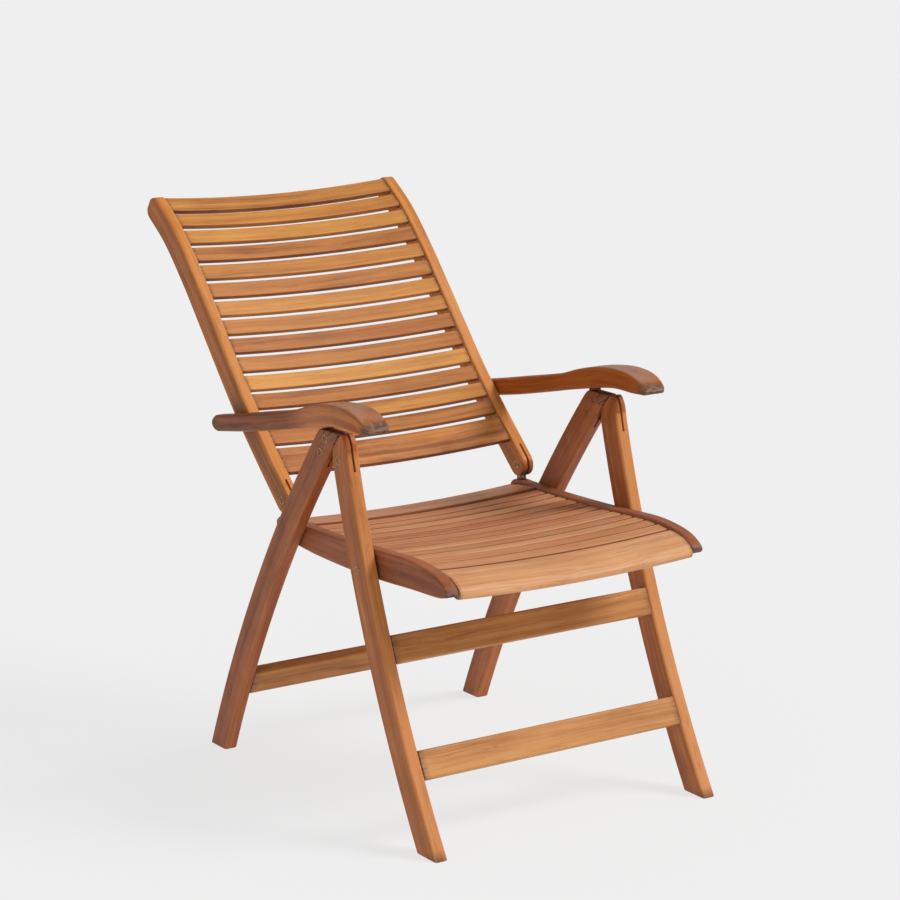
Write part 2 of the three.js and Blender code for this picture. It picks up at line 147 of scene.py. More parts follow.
def skin(name, rings):
    # a closed surface over a grid of rings: quads between them, a fan over each end
    count, around = rings.shape[:2]
    verts = np.vstack([rings.reshape(-1, 3), rings[0].mean(0), rings[-1].mean(0)]) * mm
    i, j = np.meshgrid(np.arange(count - 1), np.arange(around), indexing="ij")
    k = (j + 1) % around
    quads = np.stack([i * around + j, i * around + k, (i + 1) * around + k, (i + 1) * around + j], -1)
    ring = np.arange(around)
    turned = (ring + 1) % around
    pole = np.full(around, count * around)
    first = np.stack([turned, ring, pole], -1)
    last = np.stack([ring, turned, pole + 1], -1)
    last[:, :2] += (count - 1) * around
    quads = quads.reshape(-1, 4)
    triangles = np.vstack([quads[:, [0, 1, 2]], quads[:, [0, 2, 3]], first, last])
    corners = verts[triangles]
    volume = np.einsum("ij,ij->", corners[:, 0], np.cross(corners[:, 1], corners[:, 2]))
    if volume < 0:
        quads, first, last = quads[:, ::-1], first[:, ::-1], last[:, ::-1]
    mesh = bpy.data.meshes.new(name)
    mesh.from_pydata(verts.tolist(), [], quads.tolist() + first.tolist() + last.tolist())
    mesh.validate()
    return addObject(name, mesh)


def toFrame(y, z, x):
    # layout side view to the frame, still in millimetres
    y, z, x = np.broadcast_arrays(y, z, x)
    return np.stack([x, y - layoutShift, z], -1)


def sideBoard(name, centre, normal, halfAcross, middleX, halfX, radius):
    # a board along a path in the side view: at each station a rounded section stands across it
    a, b = roundedSection(halfAcross, halfX, radius)
    y = centre[:, :1] + a * normal[:, :1]
    z = centre[:, 1:] + a * normal[:, 1:]
    return skin(name, toFrame(y, z, np.reshape(middleX, (-1, 1)) + b))


def slab(name, outline, x0, x1):
    # a flat outline of the side view given a thickness across the chair, used as a cutter
    line = np.asarray(outline, float)
    count = len(line)
    verts = np.vstack([toFrame(line[:, 0], line[:, 1], x0), toFrame(line[:, 0], line[:, 1], x1)]) * mm
    around = np.arange(count)
    walls = np.stack([around, (around + 1) % count, (around + 1) % count + count, around + count], -1)
    area = np.sum(line[:, 0] * np.roll(line[:, 1], -1) - np.roll(line[:, 0], -1) * line[:, 1])
    faces = [around[::-1].tolist(), (around + count).tolist()] + walls.tolist()
    if area < 0:
        faces = [face[::-1] for face in faces]
    mesh = bpy.data.meshes.new(name)
    mesh.from_pydata(verts.tolist(), [], faces)
    return addObject(name, mesh)


def cutAway(piece, cutters):
    # takes the cutters out of the piece and keeps the result as its own mesh
    for cutter in cutters:
        change = piece.modifiers.new("saw cut", "BOOLEAN")
        change.object = cutter
        change.operation = "DIFFERENCE"
        change.solver = "EXACT"
    graph = bpy.context.evaluated_depsgraph_get()
    mesh = bpy.data.meshes.new_from_object(piece.evaluated_get(graph))
    piece.modifiers.clear()
    piece.data = mesh
    for cutter in cutters:
        bpy.data.objects.remove(cutter)


def sawCut(piece, outline, middle):
    # a cut as wide as a hinge plate with a little room
    cutAway(piece, [slab("slot", outline, middle - slotHalf, middle + slotHalf)])


def latheRings(centre, profile, turns):
    # a profile of (radius, x) turned about an axis across the chair
    r, x = np.asarray(profile, float).T
    angle = np.linspace(0, 2 * np.pi, turns, endpoint=False)
    y = centre[0] + r[:, None] * np.cos(angle)
    z = centre[1] + r[:, None] * np.sin(angle)
    return toFrame(y, z, x[:, None])


def placesOf(mesh):
    places = np.empty(len(mesh.vertices) * 3)
    mesh.vertices.foreach_get("co", places)
    return places.reshape(-1, 3) / mm


def alongSide(centre, halfAcross, middleX, halfX):
    # for a board along a side-view path: nearest station, then length along, distance across and
    # distance from its middle plane, with the local half sizes
    line = centre - [layoutShift, 0]
    steps = lengthAlong(line)
    tangent = np.gradient(line, axis=0)
    tangent /= np.linalg.norm(tangent, axis=1)[:, None]
    halfAcross = np.broadcast_to(halfAcross, steps.shape)
    halfX = np.broadcast_to(halfX, steps.shape)
    middleX = np.broadcast_to(middleX, steps.shape)

    def measure(places):
        flat = places[:, 1:]
        nearest = np.argmin(((flat[:, None, :] - line[None]) ** 2).sum(-1), axis=1)
        away = flat - line[nearest]
        t = tangent[nearest]
        along = steps[nearest] + (away * t).sum(-1)
        across = away[:, 1] * t[:, 0] - away[:, 0] * t[:, 1]
        ends = np.minimum(along, steps[-1] - along)
        return along, across, places[:, 0] - middleX[nearest], halfAcross[nearest], halfX[nearest], ends

    return measure


def acrossChair(middle, direction, half, thickness, bow=0.0, span=1.0, onFace=True):
    # for a board across the chair: along is x, across runs in its width and through in its
    # thickness; the middle point given is on its face, or inside it when onFace is off
    y0, z0 = middle[0] - layoutShift, middle[1]
    cy, cz = direction
    faceToMiddle = thickness / 2 if onFace else 0.0

    def measure(places):
        dy, dz = places[:, 1] - y0, places[:, 2] - z0
        across = dy * cy + dz * cz
        through = dz * cy - dy * cz - bow * ((places[:, 0] / span) ** 2 - 1) + faceToMiddle
        ends = span - np.abs(places[:, 0])
        halves = [np.full(len(places), size) for size in (half, thickness / 2)]
        return places[:, 0], across, through, *halves, ends

    return measure


def outlineEdges(y, bottom, rear, top, front, count):
    # highest and lowest point, at each layout y, of an outline joined from four smooth curves
    bottom, top = smoothCurve(bottom, count), smoothCurve(top, count)
    rear, front = smoothCurve(rear, 60), smoothCurve(front, 60)
    tail = int(np.argmax(rear[:, 0]))
    tip = int(np.argmin(front[:, 0]))
    upper = np.vstack([front[: tip + 1], top, rear[tail:]])
    lower = np.vstack([front[tip:], bottom, rear[: tail + 1]])
    upper, lower = upper[np.argsort(upper[:, 0])], lower[np.argsort(lower[:, 0])]
    return np.interp(y, upper[:, 0], upper[:, 1]), np.interp(y, lower[:, 0], lower[:, 1])


def roundEnded(shape):
    # places along a board with round ends: even in the middle, crowded by a cosine at both ends
    turn = 1 - np.cos(np.linspace(shape["least"], np.pi / 2, shape["turnCount"]))
    return np.concatenate([
        shape["tip"] + shape["tipReach"] * turn, np.linspace(*shape["middle"]),
        shape["tail"] - shape["tailReach"] * turn[::-1],
    ])


def smoothStep(value, low, high):
    t = np.clip((value - low) / (high - low), 0, 1)
    return t * t * (3 - 2 * t)


def asWood(piece, node, slotName, body, measure, tone, knots=(), endReach=2.6, paintedGapShade=0.0,
           fade=(0.0, 0.0, 1.0), paintedSheenTop=(0.0, 0.0, 1.0), paintedFaceLight=0.0):
    # grain holds the board's own coordinates in metres, moved by a random amount so that no two
    # boards match; tone holds lightness, redness and figure; the third attribute holds edge, end and
    # knot masks, its edge mask also carrying a painted sheen on the upper face. Darkening the sides
    # is painted shade for the shadowed gaps between boards, and lightening the face that looks ahead
    # or up is a painted highlight for light from the front. fade changes the lightness along the
    # board, and the painted sheen, a painted reflection, covers the upper face of its first stretch:
    # both give an amount and the two lengths between which it comes in or dies away.
    mesh = piece.data
    places = placesOf(mesh)
    along, across, through, halfAcross, halfThrough, ends = measure(places)
    bend = np.zeros(len(places))
    knot = np.zeros(len(places))
    for at, beside, size in knots:
        spread = np.hypot((along - at) / (2.2 * size), (across - beside) / size)
        knot = np.maximum(knot, 1 - smoothStep(spread, 0.25, 1.1))
        bend += np.sign(across - beside + 0.01) * size * 0.9 * np.exp(-(spread**2) / 2)
    offset = random.uniform(0, 40, 3)
    grain = np.stack([along * mm, (across - bend) * mm, through * mm], -1) + offset
    nearEdge = smoothStep(np.abs(across) / halfAcross, 0.72, 1.0)
    nearFace = smoothStep(np.abs(through) / halfThrough, 0.72, 1.0)
    tones = np.tile(tone, (len(places), 1))
    # painted shade: the sides of the board are darkened, standing in for the shadowed gaps between boards
    tones[:, 0] -= paintedGapShade * smoothStep(np.abs(across) / halfAcross, 0.93, 1.0)
    tones[:, 0] += fade[0] * smoothStep(along, fade[1], fade[2])
    # painted highlight: the face that looks ahead or up is lightened, standing in for light from the front
    tones[:, 0] += paintedFaceLight * smoothStep(across / halfAcross, 0.82, 0.98)
    # painted sheen: a pale painted reflection on the upper face of the first stretch, carried in the edge
    # mask and shown in the rubbed colour
    paintedTopSheen = paintedSheenTop[0] * (1 - smoothStep(along, paintedSheenTop[1], paintedSheenTop[2]))
    upperFace = paintedTopSheen * smoothStep(across / halfAcross, 0.88, 0.99)
    corners = nearEdge * nearFace * (1 - 0.7 * paintedSheenTop[0])
    cutEnd = 1 - smoothStep(ends, endReach * 0.15, endReach)
    wearAndSheen = np.stack([np.maximum(corners, upperFace), cutEnd, knot], -1)
    for key, values in (("grain", grain), ("tone", tones), ("wearAndSheen", wearAndSheen)):
        layer = mesh.attributes.new(key, "FLOAT_VECTOR", "POINT")
        layer.data.foreach_set("vector", np.ascontiguousarray(values, dtype=np.float32).ravel())
    finishPiece(piece, node, slotName, body)


def finishPiece(piece, node, slotName, body, crease=33):
    mesh = piece.data
    mesh.materials.clear()
    mesh.materials.append(materials[slotName])
    mesh.shade_smooth()
    mesh.set_sharp_from_angle(angle=math.radians(crease))
    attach(piece, body)
    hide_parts(node)


class Graph:
    # a node tree with short calls for adding and joining nodes
    def __init__(self, tree):
        self.tree = tree

    def node(self, kind, values=None, **settings):
        made = self.tree.nodes.new(kind)
        for key, value in settings.items():
            setattr(made, key, value)
        for key, value in (values or {}).items():
            self.feed(value, made.inputs[key])
        return made

    def feed(self, value, socket):
        if isinstance(value, bpy.types.NodeSocket):
            self.tree.links.new(value, socket)
        else:
            socket.default_value = value

    def maths(self, operation, first, second=0.0, third=None, clamp=False):
        values = {0: first, 1: second}
        if third is not None:
            values[2] = third
        return self.node("ShaderNodeMath", values, operation=operation, use_clamp=clamp).outputs[0]

    def vector(self, operation, first, second=(0, 0, 0)):
        return self.node("ShaderNodeVectorMath", {0: first, 1: second}, operation=operation).outputs[0]

    def mix(self, factor, first, second, blend="MIX"):
        made = self.node("ShaderNodeMix", data_type="RGBA", blend_type=blend)
        self.feed(factor, made.inputs[0])
        self.feed(first, made.inputs[6])
        self.feed(second, made.inputs[7])
        return made.outputs[2]

    def ramp(self, value, low, high):
        # smooth step of a value between two limits
        return self.node(
            "ShaderNodeMapRange", {0: value, 1: low, 2: high, 3: 0.0, 4: 1.0},
            interpolation_type="SMOOTHSTEP",
        ).outputs[0]

    def noise(self, place, scale, detail=3.0, rough=0.55):
        scaled = self.vector("MULTIPLY", place, scale)
        return self.node(
            "ShaderNodeTexNoise", {"Vector": scaled, "Scale": 1.0, "Detail": detail, "Roughness": rough}
        ).outputs["Fac"]

    def attribute(self, name):
        return self.node("ShaderNodeAttribute", attribute_name=name).outputs

    def parts(self, vector):
        return self.node("ShaderNodeSeparateXYZ", {0: vector}).outputs


def newGroup(name, inputs, outputs):
    # inputs and outputs give each socket's label and the kind of value that it takes
    tree = bpy.data.node_groups.new(name, "ShaderNodeTree")
    for way, sockets in (("INPUT", inputs), ("OUTPUT", outputs)):
        for label, kind in sockets.items():
            tree.interface.new_socket(label, in_out=way, socket_type="NodeSocket" + kind)
    graph = Graph(tree)
    start = graph.node("NodeGroupInput")
    end = graph.node("NodeGroupOutput")
    return tree, graph, start.outputs, end.inputs


def useGroup(graph, tree, values):
    made = graph.node("ShaderNodeGroup", node_tree=tree)
    for key, value in values.items():
        graph.feed(value, made.inputs[key])
    return made.outputs


def woodFigureGroup():
    # long bands, streaks, veins and fibres, all stretched along the board's own coordinates
    tree, g, given, out = newGroup(
        "wood figure",
        {"Grain": "Vector", "Light": "Color", "Middle": "Color", "Dark": "Color", "Lightness": "Float",
         "Redness": "Float", "Figure": "Float"},
        {"Color": "Color", "Height": "Float", "Polish": "Float"},
    )
    grain = given["Grain"]
    sway = g.noise(grain, (5.0, 9.0, 9.0), 2.0)
    sway = g.maths("MULTIPLY", g.maths("SUBTRACT", sway, 0.5), 0.016)
    swayed = g.vector("ADD", grain, g.node("ShaderNodeCombineXYZ", {1: sway, 2: sway}).outputs[0])
    bands = g.noise(swayed, (1.5, 75.0, 60.0), 2.0)
    streaks = g.noise(swayed, (7.0, 330.0, 300.0), 3.0, 0.6)
    fibres = g.noise(grain, (45.0, 1500.0, 1300.0), 2.0, 0.6)
    patches = g.noise(grain, (7.0, 22.0, 22.0), 3.0)
    veins = g.noise(swayed, (3.0, 190.0, 150.0), 1.0)
    total = g.maths("ADD", 0.5, given["Lightness"])
    for part, weight in ((bands, 0.85), (streaks, 0.55), (fibres, 0.22), (patches, 0.55)):
        swing = g.maths("MULTIPLY", g.maths("SUBTRACT", part, 0.5), given["Figure"])
        total = g.maths("MULTIPLY_ADD", swing, weight, total)
    body = g.mix(g.ramp(total, 0.10, 0.52), given["Dark"], given["Middle"])
    body = g.mix(g.ramp(total, 0.44, 0.86), body, given["Light"])
    vein = g.ramp(g.maths("ABSOLUTE", g.maths("SUBTRACT", veins, 0.5)), 0.022, 0.0)
    vein = g.maths("MULTIPLY", vein, g.maths("MULTIPLY", given["Figure"], 0.30))
    body = g.mix(vein, body, given["Dark"])
    pore = g.ramp(fibres, 0.60, 0.74)
    body = g.mix(g.maths("MULTIPLY", pore, 0.22), body, given["Dark"])
    blush = g.maths("MULTIPLY", given["Redness"], g.ramp(patches, 0.2, 0.7), clamp=True)
    body = g.mix(blush, body, (0.86, 0.60, 0.55, 1), "MULTIPLY")
    g.feed(body, out["Color"])
    relief = g.maths("MULTIPLY_ADD", fibres, 0.7, g.maths("MULTIPLY", streaks, 0.3))
    g.feed(relief, out["Height"])
    g.feed(g.maths("MULTIPLY_ADD", streaks, 0.4, g.maths("MULTIPLY", fibres, 0.6)), out["Polish"])
    return tree


def rubbedEdgeAndSheenGroup():
    # where handling has rubbed the oil off an edge, and on the armrests the painted sheen on the upper face:
    # the edge mask broken up by soft noise
    tree, g, given, out = newGroup("rubbed edge and sheen", {"EdgeAndSheen": "Float", "Amount": "Float"}, {"Mask": "Float"})
    place = g.node("ShaderNodeTexCoord").outputs["Object"]
    breakUp = g.ramp(g.noise(place, (28.0, 28.0, 28.0), 4.0), 0.32, 0.68)
    mask = g.maths("MULTIPLY", given["EdgeAndSheen"], g.maths("MULTIPLY_ADD", breakUp, 0.7, 0.3))
    g.feed(g.maths("MULTIPLY", mask, given["Amount"]), out["Mask"])
    return tree


def endGrainGroup():
    # cut ends: darker, with rings and open pores across the section
    tree, g, given, out = newGroup("end grain", {"Grain": "Vector", "End": "Float"},
                                   {"Mask": "Float", "Rings": "Float"})
    rings = g.ramp(g.noise(given["Grain"], (4.0, 260.0, 90.0), 2.0), 0.40, 0.60)
    pores = g.ramp(g.noise(given["Grain"], (500.0, 1400.0, 1400.0), 1.0), 0.58, 0.70)
    g.feed(given["End"], out["Mask"])
    g.feed(g.maths("MAXIMUM", rings, pores), out["Rings"])
    return tree


woodFigure = woodFigureGroup()
rubbedEdgeAndSheen = rubbedEdgeAndSheenGroup()
endGrain = endGrainGroup()


def shade(hexColour):
    # a display colour like d9a066 as scene-linear red, green, blue, alpha
    parts = np.array([int(hexColour[i:i + 2], 16) for i in (0, 2, 4)]) / 255
    linear = np.where(parts <= 0.04045, parts / 12.92, ((parts + 0.055) / 1.055) ** 2.4)
    return (*linear.tolist(), 1.0)


def newMaterial(name):
    material = bpy.data.materials.new(name)
    material.use_nodes = True
    graph = Graph(material.node_tree)
    surface = material.node_tree.nodes["Principled BSDF"]
    return material, graph, surface.inputs


def woodMaterial(name, look):
    material, g, surface = newMaterial(name)
    grain = g.attribute("grain")["Vector"]
    tone = g.parts(g.attribute("tone")["Vector"])
    wearAndSheen = g.parts(g.attribute("wearAndSheen")["Vector"])
    figure = useGroup(g, woodFigure, {
        "Grain": grain, "Light": shade(look["light"]), "Middle": shade(look["middle"]),
        "Dark": shade(look["dark"]), "Lightness": tone[0], "Redness": tone[1], "Figure": tone[2],
    })
    # the edge mask takes the rubbed colour: rubbed wear on the corners and, on the armrests, a painted sheen
    # on the upper face
    rubbedAndSheen = useGroup(g, rubbedEdgeAndSheen, {"EdgeAndSheen": wearAndSheen[0], "Amount": look["rubAndSheen"]})["Mask"]
    ends = useGroup(g, endGrain, {"Grain": grain, "End": wearAndSheen[1]})
    colour = g.mix(rubbedAndSheen, figure["Color"], shade(look["rubbedAndSheen"]))
    knotColour = g.mix(g.noise(grain, (60.0, 160.0, 160.0), 3.0),
                       shade(look["knotDark"]), shade(look["knotLight"]))
    colour = g.mix(wearAndSheen[2], colour, knotColour)
    endColour = g.mix(ends["Rings"], shade(look["endLight"]), shade(look["endDark"]))
    colour = g.mix(g.maths("MULTIPLY", ends["Mask"], 0.75), colour, endColour)
    g.feed(colour, surface["Base Color"])
    polish = g.maths("MULTIPLY_ADD", figure["Polish"], 0.22, look["roughness"] - 0.11)
    polish = g.maths("MULTIPLY_ADD", ends["Mask"], 0.18, polish, clamp=True)
    g.feed(polish, surface["Roughness"])
    ringDepth = g.maths("MULTIPLY", ends["Rings"], g.maths("MULTIPLY", ends["Mask"], 0.6))
    relief = g.maths("SUBTRACT", figure["Height"], ringDepth)
    bump = g.node("ShaderNodeBump", {"Strength": look["bump"], "Distance": 0.0006, "Height": relief})
    g.feed(bump.outputs[0], surface["Normal"])
    surface["IOR"].default_value = 1.46
    surface["Specular IOR Level"].default_value = look["gloss"]
    surface["Coat Weight"].default_value = look["oil"]
    surface["Coat Roughness"].default_value = 0.34
    return material


def metalMaterial(name, look):
    # aged metal: bright with tarnished patches and fine scratches; the sunk eyes are painted near black and
    # barely metallic, painted shade for the hollow
    material, g, surface = newMaterial(name)
    place = g.node("ShaderNodeTexCoord").outputs["Object"]
    tarnish = g.ramp(g.noise(place, (260.0, 260.0, 260.0), 4.0), 0.35, 0.68)
    scratch = g.noise(place, (300.0, 2600.0, 2600.0), 2.0)
    eye = g.attribute("paintedEyeShade")["Fac"]
    colour = g.mix(tarnish, shade(look["bright"]), shade(look["tarnished"]))
    # painted shade: the sunk eyes take the near-black deep colour
    colour = g.mix(eye, colour, shade(look["deep"]))
    g.feed(colour, surface["Base Color"])
    g.feed(g.maths("MULTIPLY_ADD", tarnish, 0.25, look["roughness"]), surface["Roughness"])
    bump = g.node("ShaderNodeBump", {"Strength": 0.25, "Distance": 0.0002, "Height": scratch})
    g.feed(bump.outputs[0], surface["Normal"])
    g.feed(g.maths("MULTIPLY_ADD", eye, -0.8, 0.95), surface["Metallic"])
    return material


woodBase = {
    "rubAndSheen": 0.30, "rubbedAndSheen": "dca070", "endLight": "94705a", "endDark": "4e382c", "knotDark": "46281c",
    "knotLight": "94603e", "roughness": 0.44, "bump": 0.35, "oil": 0.04, "gloss": 0.16,
}
woods = {
    "front_leg_wood": {"light": "d08e54", "middle": "ac6434", "dark": "784020"},
    "rear_leg_wood": {"light": "b87244", "middle": "9a5630", "dark": "66341c"},
    "crossbar_wood": {"light": "cc9256", "middle": "b27640", "dark": "7c4a28"},
    "seat_rail_wood": {"light": "b0704c", "middle": "945638", "dark": "643422", "rubAndSheen": 0.15,
                       "endLight": "7a6258", "endDark": "46342e"},
    "seat_slat_wood": {"light": "e0aa78", "middle": "ca8e60", "dark": "905a3a"},
    "back_stile_wood": {"light": "d68c46", "middle": "b46a30", "dark": "7a411c"},
    "back_slat_wood": {"light": "d89848", "middle": "ba793a", "dark": "844a22"},
    # the armrest's pale grey rubbed colour is rubbed wear on its corners and a painted sheen on its upper
    # face
    "armrest_wood": {"light": "c87a30", "middle": "a2561e", "dark": "5e2e12", "rubAndSheen": 0.8, "rubbedAndSheen": "a07c6a",
                     "endLight": "7c685e", "endDark": "463a36", "knotDark": "3c2a22", "knotLight": "7c5a46",
                     "roughness": 0.38, "oil": 0.10},
}
metals = {
    # deep is the near-black colour painted as shade in the sunk eyes
    "brass_fastener": {"bright": "b8945a", "tarnished": "6e5430", "deep": "020101", "roughness": 0.30},
    "bronze_plate": {"bright": "8d7a48", "tarnished": "4f4226", "deep": "1d140c", "roughness": 0.34},
}
materials = {name: woodMaterial(name.replace("_", " "), woodBase | look) for name, look in woods.items()}
materials |= {name: metalMaterial(name.replace("_", " "), look) for name, look in metals.items()}
print("materials made")


def someTone(lightness=0.0, redness=0.3, figure=1.0, spread=0.05):
    # a board's own tone: the wanted value and a small random part
    jitter = random.uniform(-1, 1, 3) * [spread, spread * 2, 0.12]
    return np.array([lightness, redness, figure]) + jitter


legs = {
    "width": 46.0, "corner": 4.0, "soleEase": 2.0, "meetingGap": 1.2,
    "front": {"foot": (-311.0, 0.0), "top": (-66.6, 600.0), "radius": 2170.0, "highest": 618.0},
    "rear": {"foot": (340.8, 0.0), "top": (-26.5, 600.0), "radius": 2500.0, "highest": 617.0},
    # the front leg's nose, and the chamfer behind it that lies along the rear leg and ends in a tip
    "noseFrom": 584.0, "nose": [(-90.5, 602), (-84.5, 613), (-79, 617.4), (-75.5, 618)],
    "chamferFrom": 572.0, "chamferAlong": [592.0, 608.0], "chamferTip": [(-71.4, 614.0), (-74.5, 618.0)],
    # the rear leg's rounded rear corner, and how its front edge draws back at the top
    "roundFrom": 603.0, "round": [(-6.5, 611), (-12, 615.5), (-20, 617)],
    "drawBack": {"from": 612, "to": 617, "by": 4.0},
    # saw cuts that take the hinge plates
    "slots": {
        "rear": [(-90, 640), (-90, 560), (-44, 552), (-4, 555), (6, 567), (0, 600), (6, 640)],
        "front": [(-130, 640), (-112, 563), (-70, 557), (-56, 536), (-30, 530), (-20, 640)],
    },
    "tones": {"front_right": -0.08, "front_left": -0.02, "rear_right": -0.03, "rear_left": 0.0},
    # how much the front face of each leg is lightened: a painted highlight for light from the front
    "paintedFaceLight": {"front_right": 0.26, "front_left": 0.58, "rear_right": 0.12, "rear_left": 0.12},
}


def legEdge(leg, side, z):
    # y of a leg's edge at a height: a circle of the leg's radius, half a width in or out, about
    # the centre that the chord from foot to top and the radius give
    chord = np.subtract(leg["top"], leg["foot"])
    half = np.hypot(*chord) / 2
    reach = math.sqrt(leg["radius"] ** 2 - half**2)
    centreY = (leg["foot"][0] + leg["top"][0]) / 2 - reach * chord[1] / (2 * half)
    centreZ = (leg["foot"][1] + leg["top"][1]) / 2 + reach * chord[0] / (2 * half)
    radius = leg["radius"] + side * legs["width"] / 2
    return centreY + np.sqrt(radius**2 - (np.asarray(z, float) - centreZ) ** 2)


def frontLegEdges(z):
    # front edge runs up to a rounded nose, rear edge is chamfered along the rear leg
    nose = smoothCurve(legs["nose"], 40)
    ahead = np.linspace(0, legs["noseFrom"], 60)
    frontZ = np.concatenate([ahead, nose[:, 1]])
    frontY = np.concatenate([legEdge(legs["front"], -1, ahead), nose[:, 0]])
    behind = np.linspace(0, legs["chamferFrom"], 60)
    meeting = legEdge(legs["rear"], -1, legs["chamferAlong"]) - legs["meetingGap"]
    tipY, tipZ = np.transpose(legs["chamferTip"])
    rearZ = np.concatenate([behind, legs["chamferAlong"], tipZ])
    rearY = np.concatenate([legEdge(legs["front"], 1, behind), meeting, tipY])
    return np.interp(z, frontZ, frontY), np.interp(z, rearZ, rearY)


def rearLegEdges(z):
    # both edges follow the curve of the leg; the rear one rounds over into the level top
    start = (float(legEdge(legs["rear"], 1, legs["roundFrom"])), legs["roundFrom"])
    turn = smoothCurve([start] + legs["round"], 24)
    behind = np.linspace(0, legs["rear"]["top"][1], 60)
    rearZ = np.concatenate([behind, turn[:, 1]])
    rearY = np.concatenate([legEdge(legs["rear"], 1, behind), turn[:, 0]])
    drawBack = legs["drawBack"]
    frontY = legEdge(legs["rear"], -1, z) + smoothStep(z, drawBack["from"], drawBack["to"]) * drawBack["by"]
    return frontY, np.interp(z, rearZ, rearY)


def makeLegs():
    for end, edges in (("front", frontLegEdges), ("rear", rearLegEdges)):
        z = np.concatenate([np.linspace(0, 560, 36), np.linspace(566, legs[end]["highest"], 22)])
        z = withEnds(z, legs["soleEase"])
        ahead, behind = edges(z)
        centre = np.stack([(ahead + behind) / 2, z], -1)
        normal = np.broadcast_to([1.0, 0.0], centre.shape)
        inset = easedEnds(z, legs["soleEase"])
        halfAcross = np.maximum((behind - ahead) / 2 - inset, 0.3)
        halfX = (legOuter - legInner) / 2
        for word, side in sides:
            name = f"{end}_leg_{word}"
            middle = side * legMiddle
            piece = sideBoard(name + "_wood", centre, normal, halfAcross, middle, halfX - inset,
                              legs["corner"])
            sawCut(piece, legs["slots"][end], middle)
            tone = someTone(legs["tones"][f"{end}_{word}"], 0.35, 1.0)
            measure = alongSide(centre, legs["width"] / 2, middle, halfX)
            asWood(piece, name, f"{end}_leg_wood", f"{end}_frame", measure, tone,
                   paintedFaceLight=legs["paintedFaceLight"][f"{end}_{word}"])


makeLegs()
print("legs done")

crossbars = {
    "ease": 3.2, "endEase": 1.2, "thickness": 21.0, "gap": 0.3,
    "bars": {
        "front_upper_crossbar": {"leg": "front", "height": 293.0, "low": 45.0, "setBack": 2.5, "tone": 0.04},
        "front_lower_crossbar": {"leg": "front", "height": 127.0, "low": 46.0, "setBack": 2.5, "tone": 0.08},
        "rear_crossbar": {"leg": "rear", "height": 132.0, "low": 45.0, "setBack": 4.0, "tone": 0.0},
    },
}


def makeCrossbars():
    half = legInner - crossbars["gap"]
    thickness = crossbars["thickness"]
    x = withEnds(np.linspace(-half, half, 41), crossbars["endEase"])
    inset = easedEnds(x, crossbars["endEase"])
    for name, bar in crossbars["bars"].items():
        leg, height = legs[bar["leg"]], bar["height"]
        # the bar leans with the leg's front edge, from its slope over 20 mm either way
        below, ahead, above = legEdge(leg, -1, [height - 20, height, height + 20])
        lean = math.atan(float(above - below) / 40)
        y0 = float(ahead) + (bar["setBack"] + thickness / 2) * math.cos(lean)
        a, b = roundedSection(bar["low"] / 2 - inset, thickness / 2 - inset, crossbars["ease"])
        # a runs up the leaning face, b out of it to the rear
        y = y0 + a * math.sin(lean) + b * math.cos(lean)
        z = height + a * math.cos(lean) - b * math.sin(lean)
        piece = skin(name + "_wood", toFrame(y, z, x[:, None]))
        direction = (math.sin(lean), math.cos(lean))
        measure = acrossChair((y0, height), direction, bar["low"] / 2, thickness, 0.0, half, onFace=False)
        asWood(piece, name, "crossbar_wood", f"{bar['leg']}_frame", measure, someTone(bar["tone"], 0.2, 1.1))


makeCrossbars()
print("crossbars done")

seat = {
    "railCorner": 4.0, "railEase": 3.0, "railEndReach": 9.0, "railTone": (0.0, 0.3, 1.0),
    "railStations": {"tip": -332.0, "tipReach": 9, "middle": (-321, 158, 60), "tail": 174.3, "tailReach": 14,
                     "least": 0.06, "turnCount": 8},
    "bottom": [(-324, 408.5), (-300, 404), (-232, 401), (-148, 396), (-52, 393), (40, 394), (98, 397),
               (140, 400.5), (160, 404.5)],
    "rearEnd": [(160, 404.5), (170, 411), (174.5, 420), (172.5, 429), (164, 435), (148, 436.5)],
    "top": [(116, 435.5), (34, 436), (-90, 439.5), (-169, 444), (-215, 446), (-255, 444.5), (-295, 438.5),
            (-318, 429.5)],
    "frontEnd": [(-318, 429.5), (-328, 422), (-332, 415), (-330, 410.5), (-324, 408.5)],
    "slot": [(139, 480), (139, 403), (168, 403), (172, 480)],
    "bow": 7.0, "thickness": 13.0, "pitch": 30.5, "gap": 5.5, "drop": 4.5, "ease": 2.2, "endEase": 1.4,
    # the side darkening of the seat slats is painted shade for the gaps between them
    "paintedGapShade": 0.4,
    "slatTones": [(-0.05, 0.7), (0.0, 0.5), (-0.04, 0.8), (0.03, 0.4), (0.0, 0.7), (-0.05, 0.9), (0.02, 0.5),
                  (-0.02, 0.7), (0.08, 0.1), (-0.03, 0.8), (0.06, 0.3), (-0.02, 0.6), (0.04, 0.4)],
    "rearSlatFront": 96.8, "rearSlatWidth": 70.0, "rearSlatTilt": -0.1,
    "nosing": [(28, -9), (30, -7), (30, -1), (29.6, 6), (27.5, 7.6), (10, 5.6), (-6, 1.6), (-20, -6),
               (-28, -13.5), (-30, -19), (-27, -24.5), (-20, -26.5), (-11, -24.6), (-2, -22), (13, -15.6)],
    "nosingAt": -305.0, "nosingHalf": 30, "nosingDepth": 24, "nosingTone": (0.15, 0.1, 1.0, 0.02),
}


